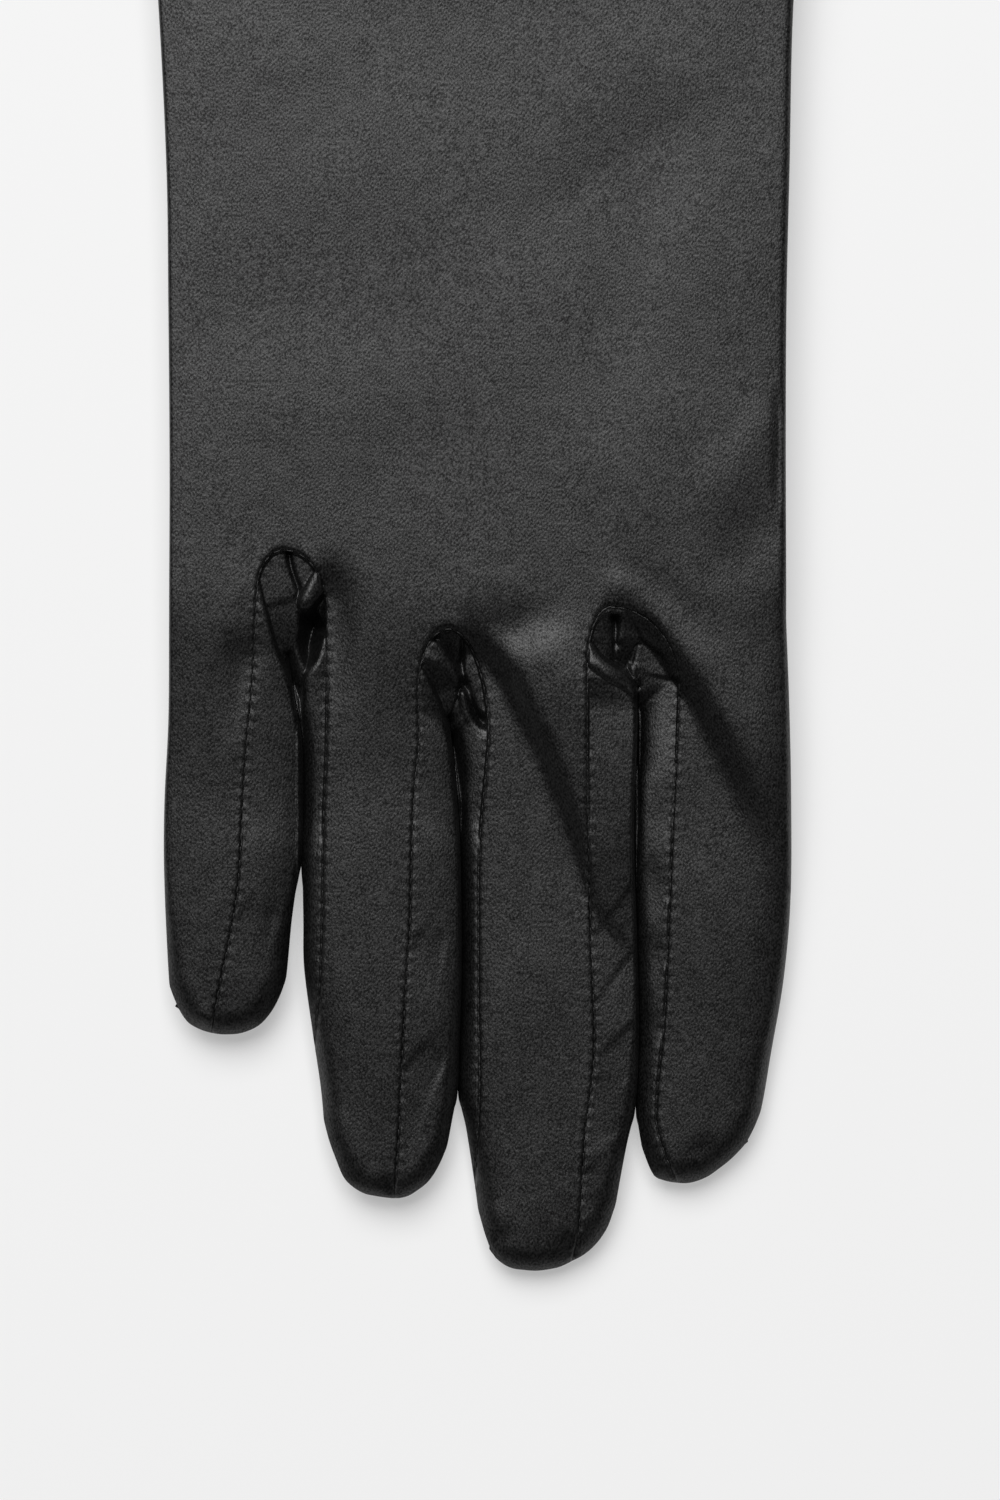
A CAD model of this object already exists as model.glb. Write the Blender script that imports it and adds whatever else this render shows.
import math

import bmesh
import bpy
import numpy as np
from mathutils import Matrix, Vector


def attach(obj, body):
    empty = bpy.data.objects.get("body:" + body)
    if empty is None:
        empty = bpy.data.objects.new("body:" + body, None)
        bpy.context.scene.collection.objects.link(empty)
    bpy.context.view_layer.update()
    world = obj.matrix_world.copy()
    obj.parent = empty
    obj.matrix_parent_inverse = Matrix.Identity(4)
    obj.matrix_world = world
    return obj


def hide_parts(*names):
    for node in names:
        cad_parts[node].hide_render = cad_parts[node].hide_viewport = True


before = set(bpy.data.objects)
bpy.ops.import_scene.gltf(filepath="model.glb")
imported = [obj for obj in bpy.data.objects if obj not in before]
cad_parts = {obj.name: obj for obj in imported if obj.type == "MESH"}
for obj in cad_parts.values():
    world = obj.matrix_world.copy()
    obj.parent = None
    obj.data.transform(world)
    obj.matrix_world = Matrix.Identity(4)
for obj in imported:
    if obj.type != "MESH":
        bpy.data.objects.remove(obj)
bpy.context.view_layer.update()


# Back of the glove
# One piece of satin: the back of the hand, the upper side of the forearm and the backs of the
# fingers. It rolls over the outer edges and is turned under, where the palm is sewn to it.

# Lengths are in millimetres, from the middle of the line across the knuckles, with x towards the index
# finger and y towards the cuff.
HAND_WIDTH = 81.0
WRIST_WIDTH = 83.6
CUFF_WIDTH = 126.0
HAND_LENGTH = 82.0
FOREARM_LENGTH = 392.0
CUFF_Y = HAND_LENGTH + FOREARM_LENGTH
FINGERS = ("little", "ring", "middle", "index")
LENGTHS = {"little": 54.5, "ring": 76.3, "middle": 85.9, "index": 74.3}
FINGER_GAP = 0.40
# places across a fingertip, from its left side to its right
TIP_PLACES = (
    -1.00, -0.94, -0.85, -0.72, -0.55, -0.35, -0.15, 0.05, 0.25, 0.45, 0.62, 0.76, 0.87, 0.95, 1.00,
)
TIP_SHAPES = {
    # how far above the finger's end each place lies, as a share of the finger's width
    "little": (
        0.440, 0.330, 0.205, 0.100, 0.042, 0.004, -0.015, -0.018, -0.008, 0.025, 0.075, 0.155, 0.255, 0.380,
        0.500,
    ),
    "ring": (
        0.700, 0.530, 0.370, 0.190, 0.095, 0.036, 0.013, -0.002, -0.008, 0.015, 0.070, 0.129, 0.215, 0.330,
        0.460,
    ),
    "middle": (
        0.500, 0.300, 0.135, 0.056, 0.010, -0.005, -0.012, -0.001, 0.022, 0.072, 0.122, 0.190, 0.275, 0.385,
        0.550,
    ),
    "index": (
        0.360, 0.170, 0.060, 0.026, 0.001, -0.012, -0.013, 0.012, 0.060, 0.140, 0.220, 0.310, 0.410, 0.560,
        0.720,
    ),
}
MIDDLE_Y = (CUFF_Y - LENGTHS["middle"]) / 2

HAND_OUTLINE = (
    # share of the hand's length, left and right as shares of its width
    (0.00, -0.498, 0.504),
    (0.25, -0.497, 0.503),
    (0.50, -0.499, 0.504),
    (0.72, -0.502, 0.509),
)
FOREARM_OUTLINE = (
    # share of the forearm's length, share of the way from the wrist's width to the cuff's
    (0.00, 0.00),
    (0.20, 0.24),
    (0.45, 0.54),
    (0.70, 0.80),
    (1.00, 1.00),
)
SIDE_LINES = {
    # share of the named finger's length, place across and opening as shares of the hand's width
    "outer_left": ("little", (
        (0.00, -0.498, 0.0), (0.24, -0.500, 0.0), (0.44, -0.507, 0.0),
        (0.60, -0.508, 0.0), (0.84, -0.502, 0.0), (1.00, -0.494, 0.0),
    )),
    "little_ring": ("little", (
        (0.085, -0.306, 0.0), (0.19, -0.296, 0.0), (0.29, -0.284, 0.0), (0.44, -0.282, 0.0),
        (0.58, -0.285, 0.0), (0.73, -0.291, 0.007), (0.84, -0.294, 0.011), (1.00, -0.293, 0.024),
        (1.16, -0.284, 0.030), (1.40, -0.273, 0.030),
    )),
    "ring_middle": ("ring", (
        (0.17, -0.044, 0.0), (0.25, -0.036, 0.0), (0.37, -0.027, 0.0), (0.50, -0.024, 0.0),
        (0.63, -0.024, 0.0), (0.75, -0.028, 0.0), (0.83, -0.030, 0.001), (0.88, -0.029, 0.010),
        (1.00, -0.030, 0.028), (1.13, -0.017, 0.030),
    )),
    "middle_index": ("index", (
        (0.12, 0.263, 0.0), (0.22, 0.262, 0.0), (0.32, 0.258, 0.0), (0.43, 0.258, 0.0),
        (0.55, 0.262, 0.0), (0.74, 0.266, 0.0), (0.88, 0.260, 0.001), (0.93, 0.258, 0.009),
        (1.00, 0.257, 0.020), (1.16, 0.237, 0.025),
    )),
    "outer_right": ("index", (
        (0.00, 0.504, 0.0), (0.14, 0.509, 0.0), (0.32, 0.513, 0.0), (0.50, 0.513, 0.0),
        (0.64, 0.502, 0.0), (0.77, 0.482, 0.0), (0.86, 0.468, 0.0), (1.00, 0.438, 0.0),
    )),
}
LINE_NAMES = tuple(SIDE_LINES)
GAPS = LINE_NAMES[1:4]

# the seams between the backs of the fingers and the side strips
ARCHES = {
    # left end, crown and right end of the seam round a crotch, as shares of the hand's width
    "little_ring": ((-0.355, 0.046), (-0.311, 0.112), (-0.241, 0.013)),
    "ring_middle": ((-0.094, -0.114), (-0.044, -0.016), (0.021, -0.196)),
    "middle_index": ((0.181, -0.073), (0.218, 0.020), (0.331, -0.114)),
}
SEAMS = {
    # share of the finger's length, place between its left and right side
    ("little", "right"): ((0.17, 0.68), (0.30, 0.60), (0.45, 0.575), (0.63, 0.56), (0.76, 0.52), (0.88, 0.44)),
    ("ring", "left"): ((0.20, 0.165), (0.36, 0.13), (0.50, 0.125), (0.62, 0.10)),
    ("ring", "right"): (
        (0.21, 0.79), (0.28, 0.74), (0.40, 0.70), (0.54, 0.68), (0.68, 0.635), (0.82, 0.59), (0.93, 0.60),
    ),
    ("middle", "left"): ((0.23, 0.17), (0.35, 0.105), (0.48, 0.09), (0.60, 0.095), (0.73, 0.115)),
    ("middle", "right"): ((0.17, 0.735), (0.29, 0.74), (0.48, 0.74), (0.66, 0.755), (0.80, 0.73), (0.93, 0.75)),
    ("index", "left"): (
        (0.18, 0.26), (0.28, 0.25), (0.42, 0.23), (0.55, 0.20), (0.70, 0.175), (0.84, 0.15), (0.91, 0.16),
    ),
}
SEAM_ENDS = {
    # where the seam meets the rounded tip: -1 at its left end, 0 at the tip, 1 at its right end
    ("little", "right"): -0.18,
    ("ring", "right"): 0.12,
    ("middle", "right"): 0.30,
    ("index", "left"): -0.26,
}
# share of the finger's length where a strip's point runs out into the side of the finger
POINT_ENDS = {("ring", "left"): 0.74, ("middle", "left"): 0.87}
CORNER = 0.72

# how the cloth lies: its heights above the table, and how far its rolls reach in from the edge
HAND_HEIGHT = 9.2
FINGER_HEIGHT = 7.9
KNUCKLE_END = -24.0
KNUCKLE_SLOPE = 30.0
TIP_FALL = 2.2
TIP_FALL_POWER = 1.3
CUFF_HEIGHT = 16.5
CUFF_FLARE = 90.0
CUFF_DROP = 0.54
SHARP_ROLL = 0.45
OUTER_ROLL = 0.90
INNER_ROLL = 1.70
SIDE_ROLL = 2.8
SLEEVE_ROLL = 6.0
SLEEVE_START = 95.0
SLEEVE_CHANGE = 70.0
TIP_ROLL = 3.2
CUFF_ROLL = 20.0
FOOT_ROLL = 2.0
ROLL_BLEND = 3.5
ROLL_POWER = 2.2
EDGE_DROP = 0.3
ROLL_DROP = 0.3
# how much lower the cloth is beside its edges, and how far in that reaches
CROWN = 0.45
LEFT_CROWNS = {"little": 0.7, "ring": 1.5, "middle": 1.9, "index": 1.0}
RIGHT_CROWNS = {"little": 1.0, "ring": 1.0, "middle": 0.3, "index": 1.4}
HAND_CROWN_REACH = 4.0
FINGER_CROWN_REACH = 2.5
CROWN_CHANGE = 20.0
CLOTH = 0.45

BACK_FOLDS = (
    # name, path, width to the left and right of the path, height, run-in and run-out shares
    ("middle_tip", ((13.33, -85.01), (12.41, -82.63), (11.09, -79.99)), 1.1, 0.7, -0.38, 0.3, 0.5),
    ("middle_tip_side", ((2.11, -82.9), (3.7, -81.31), (5.54, -80.78)), 1.6, 1.2, -0.3, 0.3, 0.6),
    ("ring_tip", ((-10.82, -76.56), (-11.48, -74.45), (-12.67, -72.86)), 0.9, 0.7, -0.32, 0.3, 0.5),
    ("ring_tip_side", ((-17.95, -73.39), (-16.37, -72.6), (-15.05, -71.28)), 1.2, 1.2, -0.25, 0.3, 0.6),
    ("little_tip", ((-34.85, -54.65), (-35.77, -52.54), (-36.96, -50.95)), 1.2, 0.8, 0.3, 0.3, 0.5),
    ("index_tip", ((28.25, -71.28), (30.1, -69.96), (32.47, -69.96)), 1.4, 1.0, -0.25, 0.3, 0.6),
    ("middle_mound", ((5.81, 0.0), (10.03, -4.62), (13.46, -10.56), (15.71, -17.16)), 4.0, 4.0, 0.55, 0.3, 0.5),
    ("middle_shoulder", (
        (-2.77, -1.58), (1.85, -1.58), (7.13, -0.79), (14.39, 0.79),
    ), 3.0, 3.2, -0.5, 0.15, 0.6),
    ("index_ridge", (
        (15.58, 4.22), (18.22, 4.49), (21.65, 3.17), (25.34, -0.26), (28.78, -4.22), (31.68, -9.24),
    ), 1.8, 1.8, 0.38, 0.2, 0.4),
    ("index_dip", ((17.03, 4.22), (22.97, 2.11), (28.51, -2.64), (32.21, -6.86)), 3.5, 2.5, -0.35, 0.25, 0.4),
    ("ring_slope", (
        (-21.12, 7.92), (-19.8, 6.07), (-19.14, 2.64), (-18.88, -2.64), (-19.14, -9.24), (-19.54, -18.48),
    ), 3.0, 1.6, -1.2, 0.22, 0.75),
    ("little_slope", (
        (-29.83, -0.66), (-30.62, -6.6), (-31.68, -13.2), (-32.74, -18.48),
    ), 1.6, 3.4, -0.55, 0.3, 0.7),
    ("thumb_slope", (
        (28.25, 72.6), (24.55, 62.04), (21.65, 54.12), (17.69, 35.64), (14.12, 17.16),
    ), 5.0, 8.0, -0.22, 0.2, 0.3),
    ("thumb_line", ((29.57, 67.32), (16.37, 58.08), (2.51, 47.39)), 1.6, 2.4, -0.05, 0.3, 0.4),
    ("thumb_end_ridge", ((40.39, 28.78), (35.51, 21.78), (28.25, 11.62)), 4.5, 3.0, 0.22, 0.2, 0.4),
    ("thumb_end_hollow", ((39.47, 15.84), (35.77, 9.9), (29.57, 3.96)), 4.0, 4.0, -0.18, 0.3, 0.4),
    ("edge_groove", (
        (39.86, 30.62), (39.86, 25.08), (39.73, 18.48), (39.86, 12.94),
    ), 0.35, 0.6, -0.3, 0.2, 0.2),
    ("back_line", ((-21.52, 46.2), (-21.78, 31.68), (-21.52, 17.16)), 2.5, 2.5, -0.05, 0.3, 0.3),
)
HAND_STEPS = (
    # finger, path, width of the slope at its start and end, run in from the path's first point,
    # height of the finger below it, where it ends, and the gap on its left
    ("middle", (
        (-2.11, -0.92), (-0.26, -1.58), (1.58, -3.56), (4.22, -7.0), (5.94, -10.3), (7.66, -13.73),
        (9.5, -17.42), (11.35, -22.44), (12.94, -27.06), (14.26, -31.68), (15.58, -36.3), (17.29, -39.6),
        (19.54, -42.24), (22.31, -44.35), (25.34, -45.67),
    ), 3.3, 2.0, 4.0, 6.9, -50, "ring_middle"),
    ("index", (
        (15.58, 2.64), (17.16, 2.64), (19.27, 1.85), (22.44, -0.66), (24.82, -3.83), (27.98, -7.92),
        (30.36, -11.75), (32.34, -15.44), (34.19, -19.27), (35.9, -22.7), (37.62, -26.4), (39.34, -30.36),
        (40.92, -34.32),
    ), 3.0, 5.0, 4.0, 7.0, -44, "middle_index"),
)


def smooth_rows(rows, column):
    """A smooth function of the rows' first column that passes through another column."""
    xs = np.array([row[0] for row in rows], float)
    ys = np.array([row[column] for row in rows], float)
    slopes = np.array([
        (ys[min(i + 1, len(xs) - 1)] - ys[max(i - 1, 0)]) / (xs[min(i + 1, len(xs) - 1)] - xs[max(i - 1, 0)])
        for i in range(len(xs))
    ])

    def value(x):
        x = np.clip(x, xs[0], xs[-1])
        i = np.clip(np.searchsorted(xs, x, side="right") - 1, 0, len(xs) - 2)
        step = xs[i + 1] - xs[i]
        t = (x - xs[i]) / step
        return ((1 + 2 * t) * (1 - t) ** 2 * ys[i] + t * (1 - t) ** 2 * step * slopes[i]
                + t * t * (3 - 2 * t) * ys[i + 1] + t * t * (t - 1) * step * slopes[i + 1])

    return value


def ease(share):
    share = np.clip(share, 0.0, 1.0)
    return share * share * (3.0 - 2.0 * share)


def mix(a, b, share):
    return a + (b - a) * share


class Line:
    """A line through plan points (N, 2), in millimetres."""

    def __init__(self, points):
        self.points = np.asarray(points, float)
        step = np.diff(self.points, axis=0)
        self.lengths = np.hypot(step[:, 0], step[:, 1])
        self.reach = np.concatenate([[0.0], np.cumsum(self.lengths)])
        self.length = self.reach[-1]

    def at(self, shares):
        target = np.asarray(shares) * self.length
        return np.stack([np.interp(target, self.reach, self.points[:, k]) for k in (0, 1)], axis=-1)

    def nearest(self, points):
        """For each point: distance, signed distance to the left, distance run along the line, and left."""
        start = self.points[:-1]
        step = np.diff(self.points, axis=0)
        square = np.maximum((step ** 2).sum(1), 1e-12)
        found = [np.empty(len(points)) for _ in range(3)] + [np.empty((len(points), 2))]
        for low in range(0, len(points), 4000):
            p = points[low:low + 4000]
            offset = p[:, None, :] - start[None]
            share = np.clip((offset * step).sum(2) / square, 0, 1)
            gap = offset - step * share[..., None]
            distance = (gap ** 2).sum(2)
            i = distance.argmin(1)
            row = np.arange(len(p))
            side = step[i, 0] * gap[row, i, 1] - step[i, 1] * gap[row, i, 0]
            d = np.sqrt(distance[row, i])
            left = np.stack([-step[i, 1], step[i, 0]], axis=1)
            left /= np.linalg.norm(left, axis=1)[:, None]
            part = slice(low, low + len(p))
            found[0][part] = d
            found[1][part] = np.where(side < 0, -d, d)
            found[2][part] = self.reach[i] + share[row, i] * self.lengths[i]
            found[3][part] = left
        return found


def even(count):
    return np.linspace(0.0, 1.0, count + 1)


def smooth_line(points, steps=12):
    """A curve through a few points, as a line of short steps."""
    points = np.asarray(points, float)
    ends = np.vstack([points[0] * 2 - points[1], points, points[-1] * 2 - points[-2]])
    t = np.arange(steps)[:, None] / steps
    line = [
        0.5 * (2 * b + (c - a) * t + (2 * a - 5 * b + 4 * c - d) * t * t + (3 * b - a - 3 * c + d) * t ** 3)
        for a, b, c, d in zip(ends, ends[1:], ends[2:], ends[3:])
    ]
    return Line(np.vstack(line + [points[-1:]]))


def arm_edge(column, side):
    rows = [(row[0] * HAND_LENGTH, row[column] * HAND_WIDTH) for row in HAND_OUTLINE]
    rows += [
        (HAND_LENGTH + along * FOREARM_LENGTH, side * mix(WRIST_WIDTH, CUFF_WIDTH, widened) / 2)
        for along, widened in FOREARM_OUTLINE
    ]
    return smooth_rows(rows, 1)


LEFT_EDGE = arm_edge(1, -1)
RIGHT_EDGE = arm_edge(2, 1)


def side_value(name, column):
    finger, rows = SIDE_LINES[name]
    curve = smooth_rows(rows, column)
    return lambda y: curve(-np.asarray(y) / LENGTHS[finger]) * HAND_WIDTH


ACROSS = {name: side_value(name, 1) for name in LINE_NAMES}
OPENING = {name: side_value(name, 2) for name in LINE_NAMES}


def side_x(finger, side, y):
    """The outer face of the cloth on one side of a finger."""
    name = LINE_NAMES[FINGERS.index(finger) + (side == "right")]
    inward = -1 if side == "right" else 1
    gap = FINGER_GAP / 2 + OPENING[name](y) if name in GAPS else 0.0
    return ACROSS[name](y) + inward * gap


def tip_line(finger, places):
    """Points on the rounded tip, from -1 at its left end through 0 at the tip to 1."""
    bottom = -LENGTHS[finger]
    width = side_x(finger, "right", bottom) - side_x(finger, "left", bottom)
    across = np.sin(np.asarray(places) * math.pi / 2)
    y = bottom + width * smooth_rows(tuple(zip(TIP_PLACES, TIP_SHAPES[finger])), 1)(across)
    x = mix(side_x(finger, "left", y), side_x(finger, "right", y), 0.5 + 0.5 * across)
    return np.stack([x, y], axis=-1)


def web(gap):
    finger, rows = SIDE_LINES[gap]
    y = -rows[0][0] * LENGTHS[finger]
    return np.array([float(ACROSS[gap](y)), y])


def web_line(gap, steps):
    angle = math.pi * (1 - even(steps))
    return web(gap) + np.stack([np.cos(angle), np.sin(angle)], axis=-1) * FINGER_GAP / 2


def finger_edge(finger, side, start_y, place):
    """Down the side of a finger from start_y and round its tip to a place on it."""
    end = -1 if side == "left" else 1
    tip = tip_line(finger, mix(end, place, even(30)))
    y = mix(start_y, tip[0, 1], even(70))
    return Line(np.vstack([np.stack([side_x(finger, side, y), y], axis=-1), tip[1:]]))


def sleeve_share(y):
    return ease((y - SLEEVE_START) / SLEEVE_CHANGE)


def glove_edge():
    """Once round the glove, from the left of the cuff over the fingers to its right, with rolls and crowns."""
    y = mix(CUFF_Y, 0.0, even(120))
    parts = [(np.stack([LEFT_EDGE(y), y], axis=-1), mix(SHARP_ROLL, SLEEVE_ROLL, sleeve_share(y)), CROWN)]
    for i, finger in enumerate(FINGERS):
        top_left = 0.0 if i == 0 else web(GAPS[i - 1])[1]
        top_right = 0.0 if i == 3 else web(GAPS[i])[1]
        left_side = finger_edge(finger, "left", top_left, -1.0).points[1:]
        right_side = finger_edge(finger, "right", top_right, 1.0).points[::-1][1:]
        lower_left, lower_right = (
            ease(-side[:, 1] / LENGTHS[finger] * 2 - 1) for side in (left_side, right_side)
        )
        inner = mix(INNER_ROLL if i else SHARP_ROLL, SIDE_ROLL, lower_left)
        outer = mix(OUTER_ROLL if i == 3 else SHARP_ROLL, SIDE_ROLL, lower_right)
        parts.append((left_side, inner, LEFT_CROWNS[finger]))
        parts.append((tip_line(finger, mix(-1, 1, even(40)))[1:], TIP_ROLL, CROWN))
        parts.append((right_side, outer, RIGHT_CROWNS[finger]))
        if i < 3:
            parts.append((web_line(GAPS[i], 12)[1:-1], SHARP_ROLL, CROWN))
    y = y[::-1]
    sleeve = mix(OUTER_ROLL, SLEEVE_ROLL, sleeve_share(y))
    parts.append((np.stack([RIGHT_EDGE(y), y], axis=-1)[1:], sleeve[1:], CROWN))
    line = Line(np.vstack([row[0] for row in parts]))
    reach = np.linspace(0, line.length, int(line.length * 2))
    spread = np.exp(-(np.linspace(-6, 6, 25) / ROLL_BLEND) ** 2)
    widths = []
    for k in (1, 2):
        sharp = np.concatenate([np.broadcast_to(row[k], len(row[0])) for row in parts])
        soft = np.convolve(np.interp(reach, line.reach, sharp), spread / spread.sum(), mode="same")
        widths.append(np.maximum(np.interp(line.reach, reach, soft), sharp.min()))
    return line, *widths


EDGE, EDGE_ROLLS, EDGE_CROWNS = glove_edge()


def arch_line(gap, steps):
    left, crown, right = (np.array(p) * HAND_WIDTH for p in ARCHES[gap])
    angle = math.pi * (1 - even(steps))
    end = np.where((angle > math.pi / 2)[:, None], left, right)
    x = crown[0] - (crown[0] - end[:, 0]) * np.abs(np.cos(angle))
    return Line(np.stack([x, end[:, 1] + (crown[1] - end[:, 1]) * np.sin(angle)], axis=-1))


def seam_line(finger, side):
    gap = LINE_NAMES[FINGERS.index(finger) + (side == "right")]
    points = [arch_line(gap, 2).points[0 if side == "right" else -1]]
    for along, place in SEAMS[finger, side]:
        y = -along * LENGTHS[finger]
        points.append((mix(side_x(finger, "left", y), side_x(finger, "right", y), place), y))
    if (finger, side) in SEAM_ENDS:
        points.append(tip_line(finger, SEAM_ENDS[finger, side]))
    else:
        y = -POINT_ENDS[finger, side] * LENGTHS[finger]
        points.append((side_x(finger, side, y), y))
    return smooth_line(points)


LEGS = {key: seam_line(*key) for key in SEAMS}


def whole_seam(gap):
    """A side strip's seam, from one fingertip up over the crotch and down to the other."""
    i = GAPS.index(gap)
    left, right = LEGS[FINGERS[i], "right"], LEGS[FINGERS[i + 1], "left"]
    return Line(np.vstack([left.points[::-1], arch_line(gap, 48).points[1:-1], right.points]))


SEAM_LINES = {gap: whole_seam(gap) for gap in GAPS}
STITCH = 1.75

BACK_SHAPES = [(smooth_line(row[1], 8), row[2:]) for row in BACK_FOLDS]
STEP_SHAPES = [(smooth_line(row[1], 8), row[2:]) for row in HAND_STEPS]
rng = np.random.default_rng(7)
WAVE_MARGIN = 5.0
WAVE_SIZES = (
    # wavelength, and height as a share of it, of the slight waves in cloth that lies flat
    (64, 0.0008), (47, 0.0008), (36, 0.0007), (27, 0.0006), (21, 0.0005), (15, 0.0004), (11, 0.0004), (8, 0.0003),
)
WAVES = [
    # direction, wavelength, phase and height
    (rng.uniform(0, math.pi), length, rng.uniform(0, 2 * math.pi), length * share)
    for length, share in WAVE_SIZES
    for _ in range(3)
]
SLEEVE_FOLDS = 20
SLEEVE_FOLDS_FROM = 112.0
SLEEVE_FOLDS_TO = 452.0


def sleeve_folds():
    """Long soft folds that lie across the empty sleeve."""
    shapes = []
    for k in range(SLEEVE_FOLDS):
        y = mix(SLEEVE_FOLDS_FROM, SLEEVE_FOLDS_TO, (k + rng.uniform(0.1, 0.9)) / SLEEVE_FOLDS)
        width = RIGHT_EDGE(y) - LEFT_EDGE(y)
        x = LEFT_EDGE(y) + width * (rng.uniform(0.0, 0.45) + rng.uniform(0.35, 0.65) * even(4))
        path = np.stack([x, y + rng.uniform(-0.45, 0.45) * (x - x[2]) + rng.uniform(-4, 4, 5)], axis=-1)
        height = rng.uniform(0.35, 0.85) * (1 if k % 3 else -1)
        shapes.append((smooth_line(path, 8), (rng.uniform(7, 12), rng.uniform(5, 8), height, 0.4, 0.4)))
    return shapes


BACK_SHAPES += sleeve_folds()
STEP_POWER = 1.4
STEP_FOOT = 0.75
STEP_FADE = -14.0
GAP_BLEND = 0.4
HAND_BLEND = 9.0
WEB_ROOM = 3.0
WEB_SLOPE = 4.0


def folds(points, shapes):
    """The summed height of folds. Each falls off to either side of its path and runs out at its ends."""
    total = np.zeros(len(points))
    for line, (left_width, right_width, height, run_in, run_out) in shapes:
        reach = 3 * max(left_width, right_width)
        low, high = line.points.min(0) - reach, line.points.max(0) + reach
        near = np.where(((points > low) & (points < high)).all(1))[0]
        if not len(near):
            continue
        distance, side, along, _ = line.nearest(points[near])
        along = along / line.length
        width = np.where(side > 0, left_width, right_width)
        fade = ease(along / run_in) * ease((1 - along) / run_out)
        total[near] += height * fade * np.exp(-(distance / width) ** 2)
    return total


BORDER_Y = -40.0


def finger_share(y, x):
    """How far down its finger a point is, from 0 at the crotch to 1 at the tip."""
    lengths = np.array([LENGTHS[finger] for finger in FINGERS])
    borders = [float(ACROSS[gap](BORDER_Y)) for gap in GAPS]
    return np.clip(-y / lengths[np.searchsorted(borders, x)], 0, 1)


def level(points):
    """Height of the cloth away from its edges: high on the hand, lower on the fingers."""
    x, y = points[:, 0], points[:, 1]
    z = mix(FINGER_HEIGHT, HAND_HEIGHT, ease((y - KNUCKLE_END) / KNUCKLE_SLOPE))
    for line, (start_width, end_width, run_in, low, end, gap) in STEP_SHAPES:
        distance, side, along, _ = line.nearest(points)
        width = mix(start_width, end_width, ease(along / line.length))
        fall = np.clip(0.5 - np.sign(side) * distance / width, 0, 1)
        high = 1 - mix(ease(fall), fall ** STEP_POWER, STEP_FOOT)
        high = mix(1.0, high, ease((line.points[0, 1] - y) / run_in)) * ease((y - end) / (STEP_FADE - end))
        spread = mix(GAP_BLEND, HAND_BLEND, ease((y - web(gap)[1] + WEB_ROOM) / WEB_SLOPE))
        share = ease(0.5 + (x - ACROSS[gap](y)) / spread)
        z = mix(z, mix(low, HAND_HEIGHT, high), share)
    return z


# a seam is a groove that puckers at each stitch, with a small ridge of cloth beside it
SEAM_DEPTH = 0.13
SEAM_PUCKER = 0.06
SEAM_WIDTH = 0.20
RIDGE_HEIGHT = 0.03
RIDGE_PLACE = 0.50
RIDGE_WIDTH = 0.30
FAR = 99.0


def heights(points, change=None):
    """Height of the cloth's outer face over plan points (N, 2), with the nearest seam's distance and run."""
    x, y = points[:, 0], points[:, 1]
    edge, _, edge_run, _ = EDGE.nearest(points)
    hand = level(points) - TIP_FALL * finger_share(y, x) ** TIP_FALL_POWER
    flare = ease((y - CUFF_Y + CUFF_FLARE) / CUFF_FLARE)
    peak = mix(hand, CUFF_HEIGHT, flare)
    roll = np.interp(edge_run, EDGE.reach, EDGE_ROLLS)
    drop = mix(EDGE_DROP + ROLL_DROP * roll, peak * CUFF_DROP, flare)
    roll = mix(roll, CUFF_ROLL, flare)
    away = 1 - np.clip(edge / roll, 0, 1)
    rolled = 1 - away ** ROLL_POWER
    crown = np.interp(edge_run, EDGE.reach, EDGE_CROWNS)
    reach = mix(HAND_CROWN_REACH, FINGER_CROWN_REACH, ease(-y / CROWN_CHANGE))
    z = peak - drop * (1 - rolled) - crown * np.exp(-edge / reach)
    soft = rolled * ease(edge / WAVE_MARGIN)
    for angle, length, phase, height in WAVES:
        run = (x * math.cos(angle) + y * math.sin(angle)) * 2 * math.pi / length
        z += soft * height * np.sin(run + phase)
    z += rolled * folds(points, BACK_SHAPES)
    nearest = np.full(len(points), FAR)
    run = np.zeros(len(points))
    for line in SEAM_LINES.values():
        distance, _, along, _ = line.nearest(points)
        closer = distance < nearest
        nearest = np.where(closer, distance, nearest)
        run = np.where(closer, along, run)
    pucker = 0.5 + 0.5 * np.cos(2 * math.pi * run / STITCH)
    z -= (SEAM_DEPTH + SEAM_PUCKER * pucker) * np.exp(-(nearest / SEAM_WIDTH) ** 2)
    z += RIDGE_HEIGHT * np.exp(-((nearest - RIDGE_PLACE) / RIDGE_WIDTH) ** 2) * pucker
    if change:
        z = change(points, z, nearest)
    return z, nearest, run


def patch(top, bottom, left, right):
    """Plan points between four sides, (rows, columns, 2); the rows keep the top row's spacing."""
    step = np.hypot(*np.diff(top, axis=0).T)
    t = (np.concatenate([[0.0], np.cumsum(step)]) / step.sum())[None, :, None]
    s = even(len(left) - 1)[:, None, None]
    corners = (top[0] * (1 - t) + top[-1] * t) * (1 - s) + (bottom[0] * (1 - t) + bottom[-1] * t) * s
    return top[None] * (1 - s) + bottom[None] * s + left[:, None] * (1 - t) + right[:, None] * t - corners


# how far from a gap's middle its two fingers' edges may lie, and the opening at which they no longer touch
BESIDE = 1.0
OPEN = 0.35


def pressed(points):
    """How firmly neighbouring fingers press together at points of the outline, from 0 to 1."""
    firm = np.zeros(len(points))
    for gap in GAPS:
        x, y = points[:, 0], points[:, 1]
        beside = (np.abs(x - ACROSS[gap](y)) < BESIDE + OPENING[gap](y)) & (y < web(gap)[1] + BESIDE)
        firm = np.where(beside, ease(1 - OPENING[gap](y) / OPEN), firm)
    return firm


# how far in each row of the turned edge lies where fingers touch, as a share of half the gap
TOUCH_ROWS = (0.0, -1.1, -1.1, -1.1, -1.1, -1.1, 0.0, 1.5, 4.0)
FOOT_HEIGHT = 0.06
FOOT_POWER = 1.2


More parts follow.
